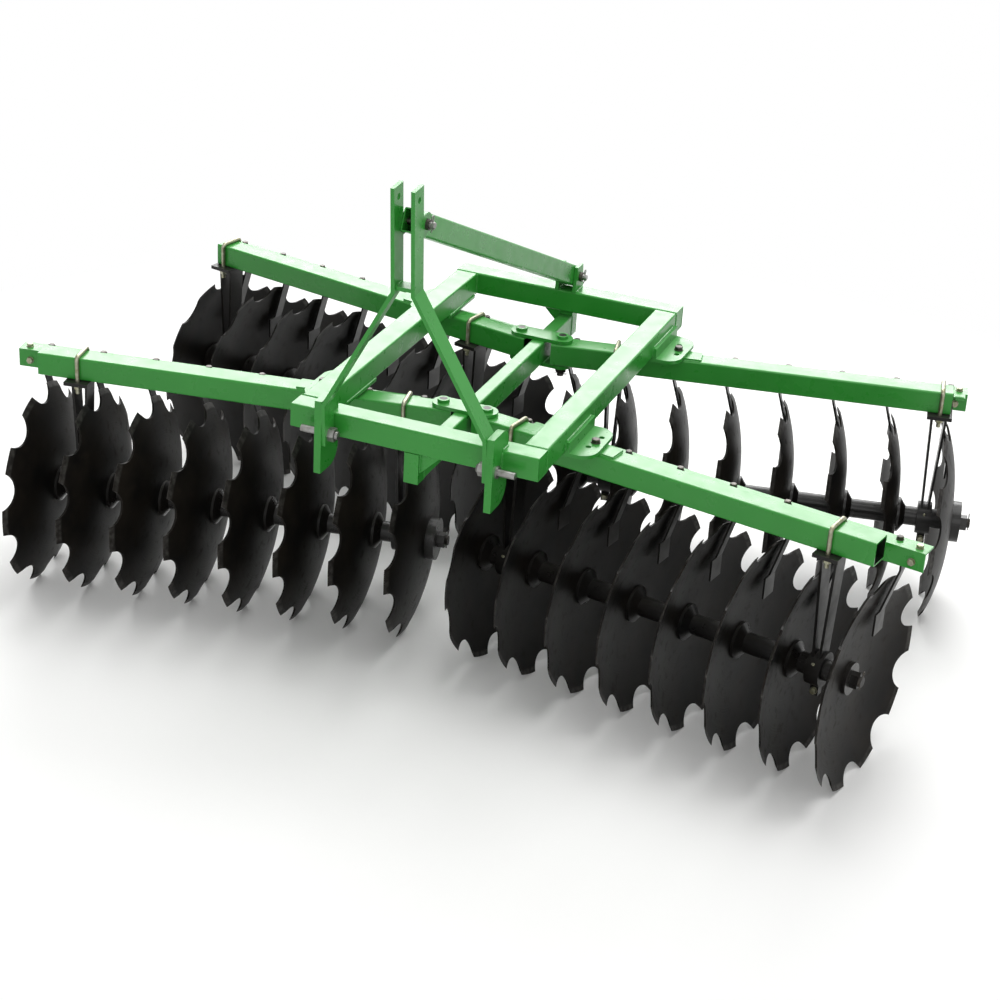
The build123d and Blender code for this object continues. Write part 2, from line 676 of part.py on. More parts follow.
def gang_pieces(hubs, dish_side):
    """The discs, the spools with both end washers, and the axle of one gang."""
    discs = [along_gang(DISC, hub, dish_side) for hub in hubs]
    spools = []
    for low, high in zip(hubs, hubs[1:]):
        spools.append(spool(hub_span(low, dish_side)[1], hub_span(high, dish_side)[0]))
    inner = hub_span(hubs[0], dish_side)[0]
    outer = hub_span(hubs[-1], dish_side)[1]
    bumper_inside = dish_side > 0
    inner_length = BUMPER_LENGTH if bumper_inside else END_WASHER_LENGTH
    outer_length = END_WASHER_LENGTH if bumper_inside else BUMPER_LENGTH
    inner_radius = BUMPER_RADIUS if bumper_inside else END_WASHER_RADIUS
    outer_radius = END_WASHER_RADIUS if bumper_inside else BUMPER_RADIUS
    inner_end = inner - inner_length
    outer_end = outer + outer_length
    spools.append(rod_x(inner_radius, inner_end, inner, 0, AXLE_Z) - square_hole(inner_end, inner))
    spools.append(rod_x(outer_radius, outer, outer_end, 0, AXLE_Z) - square_hole(outer, outer_end))
    half = AXLE_SIDE / 2
    axle = block(inner_end, outer_end, -half, half, AXLE_Z - half, AXLE_Z + half)
    axle += rod_x(STUB_RADIUS, inner_end - AXLE_STUB, inner_end, 0, AXLE_Z)
    axle += rod_x(STUB_RADIUS, outer_end, outer_end + AXLE_STUB, 0, AXLE_Z)
    nut = extrude(Plane.YZ * RegularPolygon(STUB_RADIUS * 1.7, 6), amount=AXLE_STUB * 0.7)
    axle += Pos(outer_end, 0, AXLE_Z) * nut
    axle += Pos(inner_end - AXLE_STUB * 0.7, 0, AXLE_Z) * nut
    return discs, spools, axle


save(cross_tube(FRONT_Y), "front_tube")
save(cross_tube(REAR_Y - TUBE), "rear_tube")
save(side_tube(), "side_tube_right")
save(mirrored(side_tube()), "side_tube_left")
save(spine(), "spine")
save(posts(), "posts")
save(pivot_plates(), "pivot_plates")
save(pivot_pins(), "pivot_pins")
save(angle_plates(), "angle_plates")
save(both_sides(hitch_bracket()), "hitch_brackets")
save(both_sides(hitch_pin()), "hitch_pins")
save(both_sides(mast_bar()), "mast_bars")
save(mast_spacer(), "mast_spacer")
save(brace(), "brace")
save(brace_pins(), "brace_pins")
save(rear_clevis(), "rear_clevis")

for name, side, pivot_y, angle, reach, first, dish_side in GANGS:
    hubs = [first + i * DISC_PITCH for i in range(DISCS_PER_GANG)]
    discs, spools, axle = gang_pieces(hubs, dish_side)
    pieces = {
        f"beam_{name}": [beam(reach)],
        f"u_bolts_{name}": [u_bolt(u) for u in hanger_places(first)],
        f"hangers_{name}": [hanger(u) for u in hanger_places(first)],
        f"scraper_bar_{name}": [scraper_bar(first, dish_side)],
        f"scrapers_{name}": [scraper(hub, dish_side) for hub in hubs],
        f"discs_{name}": discs,
        f"spools_{name}": spools,
        f"axle_{name}": [axle],
    }
    for node, shapes in pieces.items():
        placed = [place(shape, side, pivot_y, angle) for shape in shapes]
        save(placed[0] if len(placed) == 1 else Compound(children=placed), node)
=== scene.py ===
"""Looks for the mounted tandem disc harrow: materials, fasteners, welds, light and camera.

Metres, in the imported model's frame: Y to the rear, Z up, origin on the ground. The
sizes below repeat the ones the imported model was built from. They are in millimetres,
and so are the meshes until they are done.
"""

import math
import random
from collections import namedtuple

import bmesh
import bpy
from mathutils import Matrix, Vector


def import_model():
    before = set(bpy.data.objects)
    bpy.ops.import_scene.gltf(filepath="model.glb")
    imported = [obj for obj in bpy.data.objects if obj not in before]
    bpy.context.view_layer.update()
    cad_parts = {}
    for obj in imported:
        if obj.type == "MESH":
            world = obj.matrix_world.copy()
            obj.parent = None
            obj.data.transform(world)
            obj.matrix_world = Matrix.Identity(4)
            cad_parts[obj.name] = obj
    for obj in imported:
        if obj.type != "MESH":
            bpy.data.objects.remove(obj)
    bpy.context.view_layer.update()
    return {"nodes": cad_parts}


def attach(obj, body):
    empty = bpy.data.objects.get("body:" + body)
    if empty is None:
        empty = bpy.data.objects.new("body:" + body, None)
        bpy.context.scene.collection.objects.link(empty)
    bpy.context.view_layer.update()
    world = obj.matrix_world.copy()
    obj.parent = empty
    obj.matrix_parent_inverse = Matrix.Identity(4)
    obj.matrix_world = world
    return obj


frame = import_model()

MM = 0.001

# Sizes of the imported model, in millimetres
TUBE = 75.0
TUBE_WALL = 5.0
TUBE_CORNER = 6.0
TUBE_INSIDE = TUBE / 2 - TUBE_WALL
FRAME_WIDTH = 795.0
FRAME_LENGTH = 1330.0
PLATE = 12.0
LUG_PLATE = 8.0
SWIVEL_GAP = 1.0
FRONT_Y = -746.981
REAR_Y = FRONT_Y + FRAME_LENGTH
AXLE_Z = 324.580
BEAM_TOP = AXLE_Z + 471.0
BEAM_LOW = BEAM_TOP - TUBE
BEAM_MID = BEAM_TOP - TUBE / 2
FRAME_LOW = BEAM_TOP + LUG_PLATE + SWIVEL_GAP + PLATE
FRAME_MID = FRAME_LOW + TUBE / 2
FRAME_TOP = FRAME_LOW + TUBE
SPINE_HALF = 23.0
SPINE_HEIGHT = TUBE + 2 * SWIVEL_GAP
SPINE_LOW = BEAM_MID - SPINE_HEIGHT / 2
SPINE_TOP = BEAM_MID + SPINE_HEIGHT / 2
POST_DEPTH = 48.0
GUSSET = 64.0

# Swivels, and the lugs and plates whose holes set their angle
PIVOT_X = 73.0
FRONT_PIVOT_Y = FRONT_Y + 403.0
REAR_PIVOT_Y = REAR_Y - 274.0
FRONT_ANGLE = 10.0
REAR_ANGLE = 11.5
EAR_RADIUS = 35.0
SWIVEL_PIN_RADIUS = 12.0
INDEX_RADIUS = FRAME_WIDTH / 2 - PIVOT_X + 62.0
LUG_INNER = 42.0
LUG_OUTER = 78.0
LUG_HALF_WIDTH = TUBE / 2 - TUBE_CORNER
ANGLE_PLATE_HALF = 110.0
ANGLE_LEG = 34.0

# Gangs: discs, axles, hangers and scrapers
DISCS_PER_GANG = 8
DISC_PITCH = 178.0
GANG_SPAN = (DISCS_PER_GANG - 1) * DISC_PITCH
DISC_RADIUS = 330.0
DISC_THICKNESS = 6.0
EDGE_BEVEL = 15.0
BUMPER_LENGTH = 30.0
END_WASHER_LENGTH = 12.0
AXLE_STUB = 34.0
STUB_RADIUS = 15.0
HOUSING_RADIUS = 54.0
HANGER_TOP_U = 80.0
LEG_TOP_WIDTH = 66.0
LEG_HALF_SPREAD = 27.0
CLAMP_HALF = 13.0
CLAMP_BOLT_DROP = 72.0
U_BOLT_V = 44.8
BAR_TOP = BEAM_TOP - 42.0
BAR_WIDTH = 60.0
BAR_WALL = 6.0
BAR_FRONT_V = TUBE / 2 + 32.0
BAR_OVERHANG = 76.0
BAR_BRACKET = 3 * PLATE
SCRAPER_WIDTH = 36.0
SCRAPER_OFFSET = 80.0
SCRAPER_V = BAR_FRONT_V + BAR_WIDTH - SCRAPER_WIDTH / 2

# Hitch, mast and brace
BRACKET_OUTER_X = 284.0
BRACKET_BACK = 46.0
HITCH_PIN_AHEAD = 36.0
HITCH_PIN_DROP = 52.0
HITCH_NUT_X = 230.0
MAST_AHEAD = 40.0
MAST_LEAN = math.radians(4.5)
MAST_HALF_GAP = 25.0
MAST_BAR = 12.0
MAST_HALF = MAST_HALF_GAP + MAST_BAR
SPACER_LOW = 473.0
SPACER_TOP = SPACER_LOW + MAST_BAR
SPACER_HALF_DEPTH = 20.0
BRACE_PIN_UP = 656.0
BRACE_PIN_BACK = 52.0
BRACE_PIN_RADIUS = 10.0
CLEVIS_PLATE = 12.0
CLEVIS_LENGTH = 78.0
CLEVIS_RISE = 46.0

# dish is +1 where the discs' hollows face outward
Gang = namedtuple("Gang", "side pivot_y angle first_hub dish")
GANGS = {
    "front_left": Gang(-1, FRONT_PIVOT_Y, -FRONT_ANGLE, 27.0, 1),
    "front_right": Gang(1, FRONT_PIVOT_Y, -FRONT_ANGLE, 27.0, 1),
    "rear_left": Gang(-1, REAR_PIVOT_Y, REAR_ANGLE, 95.0, -1),
    "rear_right": Gang(1, REAR_PIVOT_Y, REAR_ANGLE, 95.0, -1),
}

MACHINE = Matrix.Scale(MM, 4)


def gang_matrix(gang):
    """From a gang's own frame (u outward, v to the rear, z up) to the machine's, in metres."""
    mirror = Matrix.Diagonal((gang.side, 1, 1, 1))
    turn = Matrix.Rotation(math.radians(gang.angle), 4, "Z")
    return mirror @ MACHINE @ Matrix.Translation((PIVOT_X, gang.pivot_y, 0)) @ turn


def mast_point(x, y, z):
    """From the mast's own leaning frame to the machine's."""
    return Vector((
        x,
        FRONT_Y - MAST_AHEAD + y * math.cos(MAST_LEAN) - z * math.sin(MAST_LEAN),
        FRAME_TOP + y * math.sin(MAST_LEAN) + z * math.cos(MAST_LEAN),
    ))


# Materials


class Tree:
    """The node tree of a material or world, with short calls for what the looks are made of."""

    def __init__(self, owner):
        owner.use_nodes = True
        self.nodes = owner.node_tree.nodes
        self.links = owner.node_tree.links

    def add(self, kind, **settings):
        node = self.nodes.new("ShaderNode" + kind)
        for key, setting in settings.items():
            setattr(node, key, setting)
        return node

    def feed(self, socket, value):
        """Links an output to a socket, or sets the socket's own number or colour."""
        if isinstance(value, bpy.types.NodeSocket):
            self.links.new(value, socket)
        elif isinstance(value, tuple) and socket.type == "RGBA":
            socket.default_value = (*value, 1)
        else:
            socket.default_value = value

    def shade(self, **values):
        """Feeds the material's main shader, with a socket's spaces written as underscores."""
        shader = self.nodes["Principled BSDF"]
        for key, value in values.items():
            self.feed(shader.inputs[key.replace("_", " ")], value)

    def place(self):
        """The piece's own coordinates, in metres."""
        return self.add("TexCoord").outputs["Object"]

    def noise(self, scale, detail=4.0, vector=None):
        """A noise texture in the piece's own metres, or along a given vector."""
        texture = self.add("TexNoise")
        self.feed(texture.inputs["Scale"], scale)
        self.feed(texture.inputs["Detail"], detail)
        self.feed(texture.inputs["Vector"], vector or self.place())
        return texture.outputs["Fac"]

    def ramp(self, value, low, high, low_to=0.0, high_to=1.0):
        """Maps low..high to low_to..high_to, clamped."""
        node = self.add("MapRange")
        self.feed(node.inputs["Value"], value)
        for key, number in zip(("From Min", "From Max", "To Min", "To Max"), (low, high, low_to, high_to)):
            self.feed(node.inputs[key], number)
        return node.outputs["Result"]

    def math(self, operation, a, b=0.0):
        node = self.add("Math", operation=operation)
        self.feed(node.inputs[0], a)
        self.feed(node.inputs[1], b)
        return node.outputs[0]

    def mix(self, factor, a, b):
        """Mixes two colours."""
        node = self.add("Mix", data_type="RGBA")
        self.feed(node.inputs["Factor"], factor)
        for key, value in (("A", a), ("B", b)):
            self.feed([s for s in node.inputs if s.name == key and s.type == "RGBA"][0], value)
        return [s for s in node.outputs if s.type == "RGBA"][0]

    def parts(self, vector):
        """A vector's X, Y and Z."""
        node = self.add("SeparateXYZ")
        self.feed(node.inputs[0], vector)
        return node.outputs

    def distance(self, a, b):
        """How far a point of a plane lies from its origin."""
        square = self.math("ADD", self.math("MULTIPLY", a, a), self.math("MULTIPLY", b, b))
        return self.math("SQRT", square)

    def edges(self, radius):
        """1 along sharp edges, 0 on the open faces."""
        bevel = self.add("Bevel", samples=4)
        self.feed(bevel.inputs["Radius"], radius)
        dot = self.add("VectorMath", operation="DOT_PRODUCT")
        self.feed(dot.inputs[0], bevel.outputs["Normal"])
        self.feed(dot.inputs[1], self.add("NewGeometry").outputs["Normal"])
        return self.ramp(self.math("SUBTRACT", 1.0, dot.outputs["Value"]), 0.02, 0.25)

    def upward(self):
        """1 on faces that look up, where dust and a painted sheen lie."""
        normal = self.add("NewGeometry").outputs["Normal"]
        return self.ramp(self.parts(normal)["Z"], 0.5, 0.95)

    def bump(self, height, depth):
        node = self.add("Bump")
        self.feed(node.inputs["Distance"], depth)
        self.feed(node.inputs["Strength"], 1.0)
        self.feed(node.inputs["Height"], height)
        return node.outputs["Normal"]

    def clouds(self, scale):
        """Soft patches between 0 and 1."""
        return self.ramp(self.noise(scale, 6.0), 0.32, 0.68)

    def turned_place(self, gang, z):
        """The piece's own coordinates about a gang's swivel, at a height, with X along the beam or axle."""
        shift = self.add("VectorMath", operation="SUBTRACT")
        self.feed(shift.inputs[0], self.place())
        self.feed(shift.inputs[1], (gang.side * PIVOT_X * MM, gang.pivot_y * MM, z * MM))
        turn = self.add("VectorRotate", rotation_type="Z_AXIS")
        self.feed(turn.inputs["Angle"], -math.radians(gang.side * gang.angle))
        self.feed(turn.inputs["Vector"], shift.outputs[0])
        return self.parts(turn.outputs[0])

    def painted_beam_shade(self, gang):
        """1 on the walls inside a gang's beam, where painted shade goes, 0 outside."""
        parts = self.turned_place(gang, BEAM_MID)
        mask = 1.0
        for axis in ("Y", "Z"):
            off = self.math("ABSOLUTE", parts[axis])
            within = self.ramp(off, (TUBE_INSIDE + 0.1) * MM, (TUBE_INSIDE + 0.7) * MM, 1.0, 0.0)
            mask = self.math("MULTIPLY", within, mask)
        return mask


def new_material(name):
    material = bpy.data.materials.new(name)
    return material, Tree(material)


def painted(name, colour, shade, worn, roughness, coat, shine, peel=0.00012, dust=0.04, gang=None):
    """Sprayed paint: patchy colour, thin at the edges, lightened on top by dust and a painted sheen, with a
    faint orange peel.

    A gang's beam gets painted shade inside: its inner walls are darkened to near black green.
    """
    material, tree = new_material(name)
    base = tree.mix(tree.ramp(tree.noise(5.0, 6.0), 0.30, 0.72), colour, shade)
    thin = tree.math("MULTIPLY", tree.edges(0.0025), tree.ramp(tree.noise(60.0), 0.42, 0.62))
    base = tree.mix(thin, base, worn)
    # Dust and a painted sheen: faces that look up are lightened toward pale grey and made rougher
    dust_and_sheen_patches = tree.ramp(tree.noise(16.0, 8.0), 0.35, 0.75, 0.3 * dust, dust)
    dust_and_sheen_on_top = tree.math("MULTIPLY", tree.upward(), dust_and_sheen_patches)
    base = tree.mix(dust_and_sheen_on_top, base, (0.62, 0.60, 0.54))
    if gang:
        # Painted shade: the walls inside the beam's tube are darkened to near black green
        base = tree.mix(tree.painted_beam_shade(gang), base, (0.006, 0.012, 0.006))
    rough = tree.ramp(tree.noise(22.0, 6.0), 0.3, 0.7, roughness - 0.06, roughness + 0.08)
    tree.shade(
        Base_Color=base,
        Roughness=tree.math("ADD", rough, tree.math("MULTIPLY", dust_and_sheen_on_top, 0.5)),
        Specular_IOR_Level=shine,
        Coat_Weight=coat,
        Coat_Roughness=0.12,
        Normal=tree.bump(tree.noise(420.0, 2.0), peel),
    )
    return material


def metal(name, colour, tint, roughness, scale):
    """Plated or bare steel with cloudy colour and fine scratches."""
    material, tree = new_material(name)
    tree.shade(
        Base_Color=tree.mix(tree.clouds(scale), colour, tint),
        Roughness=tree.ramp(tree.noise(4 * scale, 5.0), 0.3, 0.7, roughness - 0.08, roughness + 0.14),
        Metallic=0.9,
        Normal=tree.bump(tree.noise(900.0, 2.0), 0.0001),
    )
    return material


def pin_material():
    """Green painted pin heads with a bare dark middle, and dark nuts below."""
    material, tree = new_material("swivel_pin_paint")
    parts = tree.parts(tree.place())
    across = tree.math("SUBTRACT", tree.math("ABSOLUTE", parts["X"]), PIVOT_X * MM)
    to_front = tree.math("ABSOLUTE", tree.math("SUBTRACT", parts["Y"], FRONT_PIVOT_Y * MM))
    to_rear = tree.math("ABSOLUTE", tree.math("SUBTRACT", parts["Y"], REAR_PIVOT_Y * MM))
    from_middle = tree.distance(across, tree.math("MINIMUM", to_front, to_rear))
    head = tree.ramp(from_middle, (SWIVEL_PIN_RADIUS + 0.2) * MM, (SWIVEL_PIN_RADIUS + 1.2) * MM)
    above = tree.ramp(parts["Z"], (BEAM_TOP - 2) * MM, (BEAM_TOP - 1) * MM)
    paint = tree.math("MULTIPLY", head, above)
    clouds = tree.clouds(60.0)
    steel = tree.mix(clouds, (0.012, 0.011, 0.010), (0.026, 0.023, 0.020))
    green = tree.mix(clouds, GREEN_PAINT["colour"], GREEN_PAINT["shade"])
    tree.shade(
        Base_Color=tree.mix(paint, steel, green),
        Metallic=tree.ramp(paint, 0.0, 1.0, 0.7, 0.0),
        Roughness=tree.ramp(tree.noise(90.0, 5.0), 0.3, 0.7, 0.30, 0.46),
        Normal=tree.bump(tree.noise(600.0, 2.0), 0.00015),
    )
    return material


def disc_material(name):
    """Black disc paint with turning marks round the axle, soil film and a ground bevel at the rim."""
    material, tree = new_material("disc_paint_" + name)
    parts = tree.turned_place(GANGS[name], AXLE_Z)
    radius = tree.distance(parts["Y"], parts["Z"])
    rings = tree.add("CombineXYZ")
    tree.feed(rings.inputs["X"], radius)
    marks = tree.noise(260.0, 3.0, rings.outputs[0])
    patches = tree.ramp(tree.noise(9.0, 8.0), 0.35, 0.7)
    base = tree.mix(patches, (0.0045, 0.0043, 0.0040), (0.0110, 0.0090, 0.0070))
    soil = tree.ramp(tree.noise(34.0, 10.0), 0.56, 0.74, 0.0, 0.22)
    base = tree.mix(soil, base, (0.026, 0.020, 0.014))
    bevel = DISC_RADIUS - EDGE_BEVEL
    rim = tree.ramp(radius, (bevel - 3) * MM, (bevel + 3) * MM)
    ground = tree.math("MULTIPLY", rim, tree.ramp(tree.noise(48.0, 6.0), 0.40, 0.62, 0.15, 0.7))
    base = tree.mix(ground, base, (0.060, 0.056, 0.052))
    edge = tree.math("MULTIPLY", tree.edges(0.002), tree.ramp(tree.noise(70.0), 0.45, 0.65, 0.0, 0.6))
    base = tree.mix(edge, base, (0.12, 0.11, 0.10))
    rough = tree.ramp(marks, 0.3, 0.7, 0.36, 0.44)
    tree.shade(
        Base_Color=base,
        Metallic=tree.ramp(ground, 0.0, 1.0, 0.0, 0.6),
        Roughness=tree.math("ADD", rough, tree.math("MULTIPLY", soil, 0.7)),
        Specular_IOR_Level=0.07,
        Normal=tree.bump(tree.math("ADD", marks, tree.noise(300.0, 3.0)), 0.00008),
    )
    return material


GREEN_PAINT = {
    "colour": (0.032, 0.280, 0.035),
    "shade": (0.027, 0.250, 0.030),
    "worn": (0.07, 0.34, 0.075),
    "roughness": 0.30,
    "coat": 0.15,
    "shine": 0.32,
    "peel": 0.00010,
    # how strongly dust and a painted sheen lighten the faces that look up
    "dust": 0.05,
}
GREEN = painted("frame_paint", **GREEN_PAINT)
BLACK = painted(
    "black_paint",
    colour=(0.006, 0.0058, 0.0055),
    shade=(0.011, 0.0095, 0.008),
    worn=(0.07, 0.065, 0.06),
    roughness=0.36,
    coat=0.05,
    shine=0.25,
)
CAST = painted(
    "cast_black",
    colour=(0.006, 0.006, 0.006),
    shade=(0.012, 0.010, 0.0085),
    worn=(0.06, 0.056, 0.052),
    roughness=0.30,
    coat=0.12,
    shine=0.3,
    peel=0.0005,
)
ZINC = metal("zinc_plate", (0.40, 0.40, 0.31), (0.24, 0.23, 0.14), 0.34, 60.0)
PIN_STEEL = metal("pin_steel", (0.34, 0.34, 0.33), (0.20, 0.195, 0.18), 0.34, 60.0)
DARK_STEEL = metal("blackened_steel", (0.060, 0.057, 0.055), (0.10, 0.088, 0.075), 0.40, 50.0)

LOOKS = {
    "spools": CAST,
    "hangers": BLACK,
    "axle": BLACK,
    "scrapers": BLACK,
    "u_bolts": ZINC,
    "pivot_pins": pin_material(),
    "hitch_pins": PIN_STEEL,
    "brace_pins": DARK_STEEL,
}


def look_of(node):
    """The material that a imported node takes."""
    kind, gang = node, None
    for name in GANGS:
        if node.endswith("_" + name):
            kind, gang = node.removesuffix("_" + name), name
    if kind == "discs":
        return disc_material(gang)
    if kind == "beam":
        # A beam's paint carries painted shade inside its tube
        return painted("paint_" + node, **GREEN_PAINT, gang=GANGS[gang])
    return LOOKS.get(kind, GREEN)


for node, shown in frame["nodes"].items():
    material = look_of(node)
    for spot in shown.material_slots:
        spot.material = material


# Fasteners and welds, gathered in one mesh per kind and body

DRAW = random.Random(7)
UP = (0, 0, 1)
DOWN = (0, 0, -1)
FORWARD = (0, -1, 0)
BACKWARD = (0, 1, 0)

# Radii of the weld beads, and how far a bead sinks into a rounded edge
BEAD = 4.2
THICK_BEAD = 5.0
THIN_BEAD = 3.6
BEAD_SUNK = 1.6

# Thickness of the washers, then width across the flats and height of bolt heads and nuts by thread size
WASHER = 2.5
HEAD_12 = (19, 8)
NUT_12 = (19, 9)
NUT_14 = (22, 12)
HEAD_16 = (24, 10)
NUT_20 = (30, 12)


def add_ring(mesh, centre, side, other, radius, count, turn=0.0):
    """Vertices round a centre, in the plane of two directions."""
    ring = []
    for i in range(count):
        angle = turn + 2 * math.pi * i / count
        ring.append(mesh.verts.new(centre + (side * math.cos(angle) + other * math.sin(angle)) * radius))
    return ring


def skin(mesh, rings):
    """Faces from ring to ring, and one on each end."""
    count = len(rings[0])
    for low, high in zip(rings, rings[1:]):
        for i in range(count):
            j = (i + 1) % count
            mesh.faces.new((low[i], low[j], high[j], high[i]))
    mesh.faces.new(rings[0][::-1])
    mesh.faces.new(rings[-1])


def lathe(mesh, start, axis, rows, segments=20, turn=0.0):
    """A closed shell turned about an axis, from rows of (distance along it, radius)."""
    axis = Vector(axis).normalized()
    side = axis.orthogonal().normalized()
    other = axis.cross(side)
    rings = []
    for distance, radius in rows:
        rings.append(add_ring(mesh, Vector(start) + axis * distance, side, other, radius, segments, turn))
    skin(mesh, rings)


def hexagon(mesh, start, axis, across, height):
    """A nut or bolt head with chamfered corners."""
    corner = across / math.sqrt(3)
    rows = [(0, 0.93 * corner), (0.1 * height, corner), (0.86 * height, corner), (height, 0.87 * corner)]
    lathe(mesh, start, axis, rows, 6, DRAW.uniform(0, math.pi))
    lathe(mesh, start, axis, [(0.9 * height, 0.85 * across / 2), (height + 0.4, 0.80 * across / 2)])


def washer(mesh, start, axis, radius):
    rows = [(0, radius - 0.4), (0.4, radius), (WASHER - 0.4, radius), (WASHER, radius - 0.4)]
    lathe(mesh, start, axis, rows, 28)


def thread(mesh, start, axis, radius, length):
    """A threaded end with a chamfer, a ridge per turn."""
    pitch = 2.0
    rows = []
    for i in range(int(length / pitch)):
        rows.append((i * pitch, radius))
        rows.append((i * pitch + pitch / 2, radius + 0.35 * pitch))
    rows.append((rows[-1][0] + pitch / 2, radius))
    rows.append((length, 0.86 * radius))
    lathe(mesh, start, axis, rows)


def bolt_head(mesh, start, axis, across, height):
    """A washer and a bolt head on a face."""
    axis = Vector(axis).normalized()
    washer(mesh, start, axis, 0.62 * across)
    hexagon(mesh, Vector(start) + WASHER * axis, axis, across, height)


def nut_end(mesh, start, axis, across, height, tail):
    """A washer, a nut and the threaded end that stands out of it."""
    axis = Vector(axis).normalized()
    bolt_head(mesh, start, axis, across, height)
    thread(mesh, Vector(start) + (WASHER + height) * axis, axis, 0.30 * across, tail)


def wire(mesh, points, radii):
    """A closed round bar along points, with a radius at each."""
    rings = []
    side = None
    for i, point in enumerate(points):
        run = (points[min(i + 1, len(points) - 1)] - points[max(i - 1, 0)]).normalized()
        side = run.orthogonal() if side is None else side - run * side.dot(run)
        side.normalize()
        rings.append(add_ring(mesh, point, side, run.cross(side), radii[i], 8))
    skin(mesh, rings)


def cotter(mesh, centre, axis, up, pin_radius, size=2.2):
    """A split pin through a pin's end: an eye above and two legs bent apart below."""
    up = Vector(up).normalized()
    across = Vector(axis).normalized().cross(up)
    low = pin_radius + 4
    leg = [
        (-3.4 * size, -low - 3),
        (-1.6 * size, -low),
        (-0.55 * size, 2 - low),
        (-0.55 * size, pin_radius + 1),
    ]
    eye = []
    eye_middle = pin_radius + 3.2 * size
    eye_radius = 2.1 * size
    for i in range(9):
        angle = math.radians(215 - 250 * i / 8)
        eye.append((eye_radius * math.cos(angle), eye_middle + eye_radius * math.sin(angle)))
    other_leg = [(-a, b) for a, b in reversed(leg)]
    line = [Vector(centre) + across * a + up * b for a, b in leg + eye + other_leg]
    wire(mesh, line, [0.5 * size] * len(line))


def slab(mesh, corners, thickness):
    """A flat plate: a ring of corners and its thickness downward, with softened rims."""
    soft = 1.0
    middle = sum(corners, Vector()) / len(corners)
    rings = []
    for drop, inset in ((0, soft), (soft, 0), (thickness - soft, 0), (thickness, soft)):
        ring = []
        for corner in corners:
            inward = (middle - corner).normalized() * inset
            ring.append(mesh.verts.new(corner + inward - Vector((0, 0, drop))))
        rings.append(ring)
    skin(mesh, rings)


def weld(mesh, a, b, size=BEAD):
    """A rippled weld bead from a to b."""
    a, b = Vector(a), Vector(b)
    run = b - a
    steps = max(int(run.length / 1.6), 6)
    points = []
    radii = []
    for i in range(steps + 1):
        along = run.length * i / steps
        ripple = 0.84 + 0.16 * abs(math.sin(math.pi * along / 4.8))
        end = min(1.0, 0.4 + min(along, run.length - along) / 5)
        points.append(a + run * (i / steps))
        radii.append(size * ripple * end * DRAW.uniform(0.95, 1.05))
    wire(mesh, points, radii)


def piece(name, mesh, matrix, material, body):
    """Turns what was gathered into one object that rides on a body."""
    bmesh.ops.transform(mesh, matrix=matrix, verts=mesh.verts)
    bmesh.ops.recalc_face_normals(mesh, faces=mesh.faces)
    data = bpy.data.meshes.new(name)
    mesh.to_mesh(data)
    mesh.free()
    for face in data.polygons:
        face.use_smooth = True
    data.set_sharp_from_angle(angle=math.radians(33))
    data.materials.append(material)
    shown = bpy.data.objects.new(name, data)
    bpy.context.scene.collection.objects.link(shown)
    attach(shown, body)


# Frame


def corner_welds(mesh, side):
    """Where a side tube meets the two cross tubes."""
    outer = side * FRAME_WIDTH / 2
    inner = side * (FRAME_WIDTH / 2 - TUBE)
    for y in (FRONT_Y + TUBE, REAR_Y - TUBE):
        weld(mesh, (inner, y, FRAME_TOP - BEAD_SUNK), (outer, y, FRAME_TOP - BEAD_SUNK))
        weld(mesh, (inner, y, FRAME_LOW + BEAD_SUNK), (outer, y, FRAME_LOW + BEAD_SUNK))
        x = outer - side * BEAD_SUNK
        weld(mesh, (x, y, FRAME_LOW + 3), (x, y, FRAME_TOP - 3))
        weld(mesh, (inner, y, FRAME_LOW + 3), (inner, y, FRAME_TOP - 3), THICK_BEAD)


def spine_welds(mesh, side):
    """Down one side of the posts, the spine's ends and its pivot plates."""
    x = side * SPINE_HALF
    for end, inward in ((FRONT_Y, 1), (REAR_Y, -1)):
        step = end + inward * POST_DEPTH
        weld(mesh, (x, end + inward * 3, FRAME_LOW), (x, step, FRAME_LOW), THICK_BEAD)
        sunk = x - side * BEAD_SUNK
        weld(mesh, (sunk, step, SPINE_LOW + 3), (sunk, step, SPINE_TOP - 2))
    half = EAR_RADIUS - 2
    for y in (FRONT_PIVOT_Y, REAR_PIVOT_Y):
        weld(mesh, (x, y - half, SPINE_TOP), (x, y + half, SPINE_TOP))
        weld(mesh, (x, y - half, SPINE_LOW), (x, y + half, SPINE_LOW))


def bracket_welds(mesh, side):
    """Round a hitch bracket, and the rear clevis plate on the same side."""
    x = side * BRACKET_OUTER_X
    weld(mesh, (x, FRONT_Y, FRAME_LOW + 4), (x, FRONT_Y, FRAME_TOP - 4), THICK_BEAD)
    for z in (FRAME_TOP, FRAME_LOW):
        weld(mesh, (x, FRONT_Y + 3, z), (x, FRONT_Y + BRACKET_BACK - 3, z), THICK_BEAD)
    middle = REAR_Y - TUBE / 2
    half = CLEVIS_LENGTH / 2 - 6
    for edge in (MAST_HALF_GAP, MAST_HALF_GAP + CLEVIS_PLATE):
        weld(mesh, (side * edge, middle - half, FRAME_TOP), (side * edge, middle + half, FRAME_TOP))


def angle_plate_welds(mesh, side):
    outer = side * FRAME_WIDTH / 2
    inner = side * (FRAME_WIDTH / 2 - TUBE)
    top = FRAME_LOW + ANGLE_LEG
    half = ANGLE_PLATE_HALF - 3
    for pivot_y, angle in ((FRONT_PIVOT_Y, -FRONT_ANGLE), (REAR_PIVOT_Y, REAR_ANGLE)):
        middle = pivot_y + INDEX_RADIUS * math.sin(math.radians(angle))
        weld(mesh, (outer, middle - half, top), (outer, middle + half, top), THICK_BEAD)
        weld(mesh, (inner, middle - half, FRAME_LOW), (inner, middle + half, FRAME_LOW))
        for y in (middle - ANGLE_PLATE_HALF, middle + ANGLE_PLATE_HALF):
            weld(mesh, (outer, y, FRAME_LOW + 3), (outer, y, top - 2))


